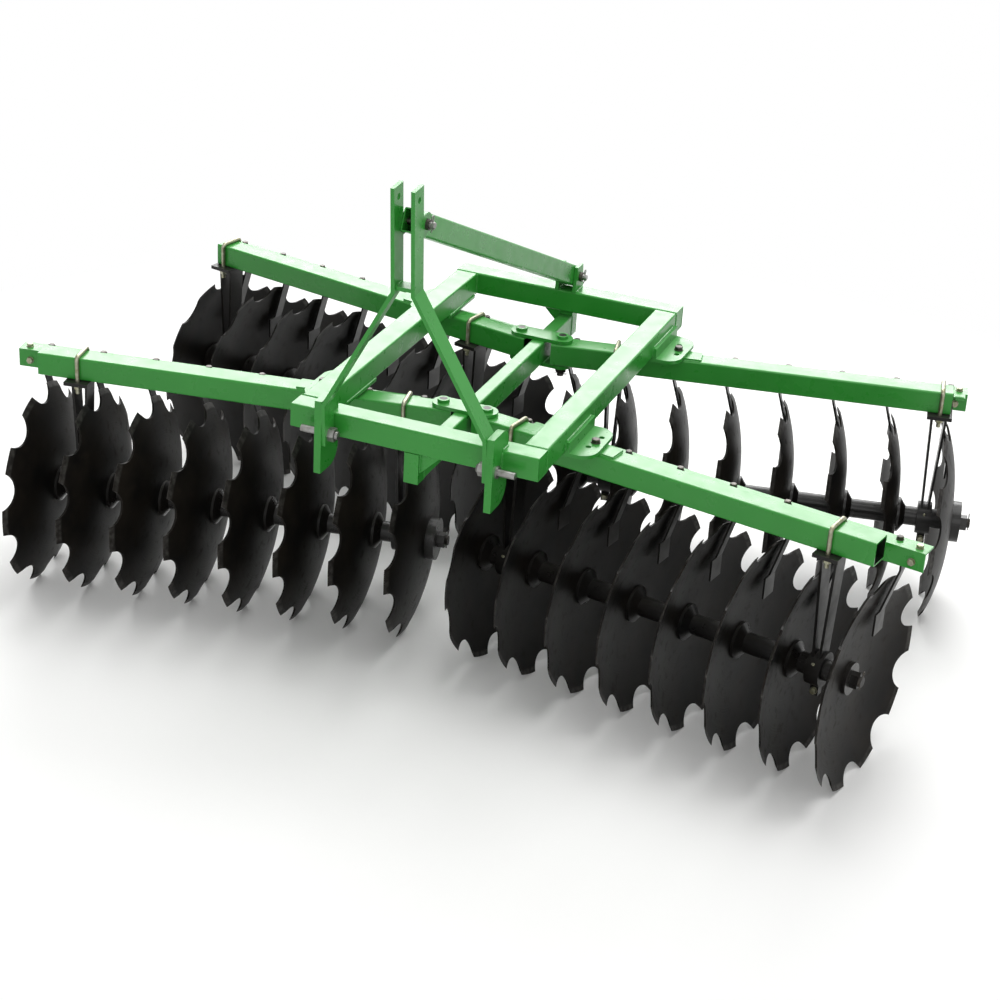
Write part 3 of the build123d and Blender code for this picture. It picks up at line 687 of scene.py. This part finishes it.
def post_welds(mesh):
    """The posts' inner faces, and the gusset beside each post."""
    for y in (FRONT_Y + POST_DEPTH, REAR_Y - POST_DEPTH):
        weld(mesh, (-SPINE_HALF, y, FRAME_LOW), (SPINE_HALF, y, FRAME_LOW), THICK_BEAD)
    for side, y in ((1, FRONT_Y + PLATE), (-1, REAR_Y - POST_DEPTH)):
        x = side * SPINE_HALF
        corner = side * (SPINE_HALF + GUSSET - 3)
        for face in (y, y + PLATE):
            weld(mesh, (x + side * 4, face, FRAME_LOW), (corner, face, FRAME_LOW))
            weld(mesh, (x, face, FRAME_LOW - GUSSET + 3), (x, face, FRAME_LOW - 4))


def mast_spacer_welds(mesh):
    half = SPACER_HALF_DEPTH - 2
    for x in (-MAST_HALF_GAP, MAST_HALF_GAP):
        for z in (SPACER_LOW, SPACER_TOP):
            weld(mesh, mast_point(x, -half, z), mast_point(x, half, z))


def frame_welds():
    mesh = bmesh.new()
    for side in (-1, 1):
        corner_welds(mesh, side)
        spine_welds(mesh, side)
        bracket_welds(mesh, side)
        angle_plate_welds(mesh, side)
    post_welds(mesh)
    mast_spacer_welds(mesh)
    piece("frame_welds", mesh, MACHINE, GREEN, "frame")


def tube_caps():
    """Plates let into the open ends of the two cross tubes."""
    mesh = bmesh.new()
    corner = (TUBE_INSIDE - 0.1) * math.sqrt(2)
    for side in (-1, 1):
        for y in (FRONT_Y + TUBE / 2, REAR_Y - TUBE / 2):
            mouth = (side * FRAME_WIDTH / 2, y, FRAME_MID)
            lathe(mesh, mouth, (side, 0, 0), [(-6, corner), (-1.4, corner), (-0.6, corner - 1.2)], 4)
    piece("tube_caps", mesh, MACHINE, GREEN, "frame")


def hitch_pin_ends():
    """The brace's pin ends and nuts, and the threaded ends inside the hitch pins' nuts."""
    mesh = bmesh.new()
    radius = BRACE_PIN_RADIUS - 0.1
    brace_front = mast_point(0, BRACE_PIN_BACK, BRACE_PIN_UP)
    brace_rear = Vector((0, REAR_Y - TUBE / 2, FRAME_TOP + CLEVIS_RISE))
    for end in (brace_front, brace_rear):
        right = end + Vector((MAST_HALF + 10, 0, 0))
        lathe(mesh, right, (1, 0, 0), [(-2, radius), (13, radius), (15, radius - 1.7)])
        cotter(mesh, right + Vector((7, 0, 0)), (1, 0, 0), UP, BRACE_PIN_RADIUS, 3.4)
        nut_end(mesh, end - Vector((MAST_HALF, 0, 0)), (-1, 0, 0), *NUT_20, 5)
    for side in (-1, 1):
        inside = (side * HITCH_NUT_X, FRONT_Y - HITCH_PIN_AHEAD, FRAME_TOP - HITCH_PIN_DROP)
        thread(mesh, inside, (-side, 0, 0), 12.0, 9)
    piece("hitch_pin_ends", mesh, MACHINE, PIN_STEEL, "frame")


def swivel_pin_ends():
    mesh = bmesh.new()
    nut_low = SPINE_LOW - PLATE - 20
    radius = SWIVEL_PIN_RADIUS - 1
    for gang in GANGS.values():
        x = gang.side * PIVOT_X
        thread(mesh, (x, gang.pivot_y, nut_low), DOWN, radius, 14)
        cotter(mesh, (x, gang.pivot_y, nut_low - 6), DOWN, (gang.side, 0, 0), radius)
    piece("swivel_pin_ends", mesh, MACHINE, DARK_STEEL, "frame")


# Gangs


def foot_outline(toe, heel):
    """A scraper's foot seen from above, under the bar, with a rounded toe."""
    way = 1 if heel > toe else -1
    half = SCRAPER_WIDTH / 2
    bulge = 8
    z = BAR_TOP - BAR_WALL
    corners = [Vector((heel, SCRAPER_V - half, z)), Vector((heel, SCRAPER_V + half, z))]
    for i in range(9):
        angle = math.pi * i / 8
        u = toe + way * bulge * (1 - math.sin(angle))
        corners.append(Vector((u, SCRAPER_V + half * math.cos(angle), z)))
    return corners


def lug_welds(green):
    """Round the index lug on top of a beam."""
    inner = INDEX_RADIUS - LUG_INNER
    outer = INDEX_RADIUS + LUG_OUTER
    for v in (-LUG_HALF_WIDTH, LUG_HALF_WIDTH):
        weld(green, (inner + 2, v, BEAM_TOP), (outer - 2, v, BEAM_TOP), THIN_BEAD)
    half = LUG_HALF_WIDTH - 3.5
    for u in (inner, outer):
        weld(green, (u, -half, BEAM_TOP), (u, half, BEAM_TOP), THIN_BEAD)


def hanger_fasteners(u, green, black, zinc):
    """A hanger's U-bolt nuts, welds, housing bolt and grease nipple, and the bar's bracket welds."""
    bracket = u + HANGER_TOP_U / 2
    for z in (BAR_TOP, BAR_TOP - BAR_WALL):
        weld(green, (bracket + 2, TUBE / 2, z), (bracket + BAR_BRACKET - 2, TUBE / 2, z))
    plate_low = BEAM_LOW - PLATE
    for v in (-U_BOLT_V, U_BOLT_V):
        nut_end(zinc, (u, v, plate_low), DOWN, *NUT_14, 15.5)
    half = LEG_TOP_WIDTH / 2 - 3
    for leg_u in (u - LEG_HALF_SPREAD, u + LEG_HALF_SPREAD):
        weld(black, (leg_u, -half, plate_low), (leg_u, half, plate_low))
    bolt_z = AXLE_Z - CLAMP_BOLT_DROP
    bolt_head(zinc, (u, -CLAMP_HALF, bolt_z), FORWARD, *HEAD_12)
    nut_end(zinc, (u, CLAMP_HALF, bolt_z), BACKWARD, *NUT_12, 6)
    tilt = math.radians(35)
    outward = Vector((0, -math.cos(tilt), math.sin(tilt)))
    nipple = [(-2, 4.5), (3, 4.5), (3.6, 2.8), (7, 2.8), (8, 3.6), (10, 3.6), (12, 1.8)]
    lathe(zinc, Vector((u, 0, AXLE_Z)) + HOUSING_RADIUS * outward, outward, nipple, 14)


def scraper_fasteners(bend, dish, dark, feet):
    """A scraper's bolt through the bar, and its flat foot under it."""
    bolt_u = bend - dish * 20
    toe = bend - dish * 36
    heel = bend + dish * 3
    bolt_head(dark, (bolt_u, SCRAPER_V, BAR_TOP), UP, *HEAD_12)
    nut_end(dark, (bolt_u, SCRAPER_V, BAR_TOP - 2 * BAR_WALL), DOWN, *NUT_12, 7)
    slab(feet, foot_outline(toe, heel), BAR_WALL)


def bar_end_bolts(end, zinc):
    """Two bolts near the outer end of a scraper bar."""
    bolt_head(zinc, (end - 28, BAR_FRONT_V + 26.5, BAR_TOP), UP, *HEAD_12)
    bolt_head(zinc, (end - 38, BAR_FRONT_V, BAR_TOP - 36), FORWARD, *HEAD_12)


def gang_fasteners(name):
    """What is bolted or welded to a gang's beam, with the bolt that sets the gang's angle."""
    gang = GANGS[name]
    matrix = gang_matrix(gang)
    body = "gang_beam_" + name
    green = bmesh.new()
    zinc = bmesh.new()
    black = bmesh.new()
    feet = bmesh.new()
    dark = bmesh.new()
    lug_welds(green)
    last_hub = gang.first_hub + GANG_SPAN
    for u in (gang.first_hub + DISC_PITCH / 2, last_hub - DISC_PITCH / 2):
        hanger_fasteners(u, green, black, zinc)
    for i in range(DISCS_PER_GANG):
        bend = gang.first_hub + i * DISC_PITCH + gang.dish * SCRAPER_OFFSET
        scraper_fasteners(bend, gang.dish, dark, feet)
    bar_end_bolts(last_hub + gang.dish * SCRAPER_OFFSET + BAR_OVERHANG, zinc)
    piece("beam_welds_" + name, green, matrix, GREEN, body)
    piece("hanger_welds_" + name, black, matrix, BLACK, body)
    piece("scraper_feet_" + name, feet, matrix, BLACK, body)
    piece("beam_fasteners_" + name, zinc, matrix, ZINC, body)
    piece("scraper_bolts_" + name, dark, matrix, DARK_STEEL, body)
    index = bmesh.new()
    bolt_head(index, (INDEX_RADIUS, 0, FRAME_LOW), UP, *HEAD_16)
    lathe(index, (INDEX_RADIUS, 0, FRAME_LOW + 1), DOWN, [(0, 7.6), (44, 7.6), (46, 6.4)])
    piece("angle_bolt_" + name, index, matrix, DARK_STEEL, body)


def axle_fasteners(name):
    """Threaded ends and split pins outside the axle's nuts, past the bumper washer and the small one."""
    gang = GANGS[name]
    small_end = DISC_THICKNESS + END_WASHER_LENGTH
    inner, outer = (BUMPER_LENGTH, small_end) if gang.dish > 0 else (small_end, BUMPER_LENGTH)
    beyond_nut = 10.4
    mesh = bmesh.new()
    for u, way in ((gang.first_hub - inner, -1), (gang.first_hub + GANG_SPAN + outer, 1)):
        along = (way, 0, 0)
        nut_face = u + way * (AXLE_STUB - beyond_nut)
        hole = u + way * (AXLE_STUB - 5)
        thread(mesh, (nut_face, 0, AXLE_Z), along, STUB_RADIUS + 0.05, beyond_nut)
        cotter(mesh, (hole, 0, AXLE_Z), along, (0, 0.5, 0.87), STUB_RADIUS + 0.5, 3.0)
    piece("axle_ends_" + name, mesh, gang_matrix(gang), DARK_STEEL, "disc_gang_" + name)


frame_welds()
tube_caps()
hitch_pin_ends()
swivel_pin_ends()
for gang_name in GANGS:
    gang_fasteners(gang_name)
    axle_fasteners(gang_name)


# Floor, backdrop, light and camera

FLOOR_HALF = 30.0
FLOOR_NEAR = -24.0
FLOOR_FAR = 14.0
BACKDROP_BEND = 6.0
BACKDROP_TOP = 22.0

CAMERA_PLACE = (2.3647, -6.2328, 3.7239)
CAMERA_AZIMUTH = math.radians(20.756)
CAMERA_ELEVATION = math.radians(27.005)
CAMERA_ROLL = math.radians(3.407)
FOCAL_PIXELS = 2262.24
IMAGE_PIXELS = 1000
SENSOR = 36.0


def seen(tree):
    """1 for what the camera sees, in gloss too."""
    path = tree.add("LightPath").outputs
    return tree.math("MAXIMUM", path["Is Camera Ray"], path["Is Glossy Ray"])


def floor_material():
    """A matt floor that keeps the shadow and fades to plain white away from the machine."""
    material, tree = new_material("pale_floor")
    tree.shade(Base_Color=(0.92, 0.92, 0.91), Roughness=0.9, Specular_IOR_Level=0.1)
    reach = tree.add("VectorMath", operation="LENGTH")
    tree.feed(reach.inputs[0], tree.place())
    away = tree.ramp(reach.outputs["Value"], 1.7, 3.2)
    blend = tree.add("MixShader")
    tree.feed(blend.inputs[0], tree.math("MULTIPLY", away, seen(tree)))
    tree.feed(blend.inputs[1], tree.nodes["Principled BSDF"].outputs[0])
    tree.feed(blend.inputs[2], tree.add("Emission").outputs[0])
    tree.feed(tree.nodes["Material Output"].inputs["Surface"], blend.outputs[0])
    return material


def floor():
    """A wide floor that curves up behind the machine."""
    mesh = bmesh.new()
    line = [(FLOOR_NEAR, 0.0), (FLOOR_FAR, 0.0)]
    for i in range(1, 13):
        turn = math.radians(90 * i / 12)
        line.append((FLOOR_FAR + BACKDROP_BEND * math.sin(turn), BACKDROP_BEND * (1 - math.cos(turn))))
    line.append((FLOOR_FAR + BACKDROP_BEND, BACKDROP_TOP))
    rows = [[mesh.verts.new((x, y, z)) for x in (-FLOOR_HALF, FLOOR_HALF)] for y, z in line]
    for low, high in zip(rows, rows[1:]):
        mesh.faces.new((low[0], low[1], high[1], high[0]))
    data = bpy.data.meshes.new("floor")
    mesh.to_mesh(data)
    mesh.free()
    for face in data.polygons:
        face.use_smooth = True
    shown = bpy.data.objects.new("floor", data)
    bpy.context.scene.collection.objects.link(shown)
    data.materials.append(floor_material())


def world():
    """An even pale sky that fills the shadows and shows plain white."""
    sky = bpy.data.worlds.new("sky")
    tree = Tree(sky)
    background = tree.nodes["Background"]
    tree.feed(background.inputs["Color"], (1, 1, 1))
    tree.feed(background.inputs["Strength"], tree.ramp(seen(tree), 0.0, 1.0, 0.45, 1.0))
    bpy.context.scene.world = sky


def lamp(name, place, aim, size, power):
    light = bpy.data.lights.new(name, "AREA")
    light.shape = "RECTANGLE"
    light.size, light.size_y = size
    light.energy = power
    shown = bpy.data.objects.new(name, light)
    shown.location = place
    shown.rotation_euler = (Vector(aim) - Vector(place)).to_track_quat("-Z", "Y").to_euler()
    bpy.context.scene.collection.objects.link(shown)


def camera():
    """The photograph's view, from in front of the hitch and to the right, a little rolled."""
    level = math.cos(CAMERA_ELEVATION)
    back = Vector((
        math.sin(CAMERA_AZIMUTH) * level,
        -math.cos(CAMERA_AZIMUTH) * level,
        math.sin(CAMERA_ELEVATION),
    ))
    right = Vector((math.cos(CAMERA_AZIMUTH), math.sin(CAMERA_AZIMUTH), 0))
    up = back.cross(right)
    rolled_right = math.cos(CAMERA_ROLL) * right + math.sin(CAMERA_ROLL) * up
    rolled_up = math.cos(CAMERA_ROLL) * up - math.sin(CAMERA_ROLL) * right
    lens = bpy.data.cameras.new("camera")
    lens.sensor_width = SENSOR
    lens.lens = FOCAL_PIXELS / IMAGE_PIXELS * SENSOR
    lens.clip_end = 200.0
    shown = bpy.data.objects.new("camera", lens)
    shown.matrix_world = Matrix((rolled_right, rolled_up, back)).transposed().to_4x4()
    shown.location = CAMERA_PLACE
    bpy.context.scene.collection.objects.link(shown)
    bpy.context.scene.camera = shown


floor()
world()
lamp("key", (1.0, 1.5, 7.0), (0, 0, 0.5), (7, 5), 380)
lamp("sheen", (-2.6, 6.8, 4.5), (0, 0, 0.7), (9, 4), 760)
lamp("front", (3.0, -8.0, 5.0), (0, 0, 0.5), (6, 4), 150)
camera()
bpy.context.scene.view_settings.view_transform = "Standard"
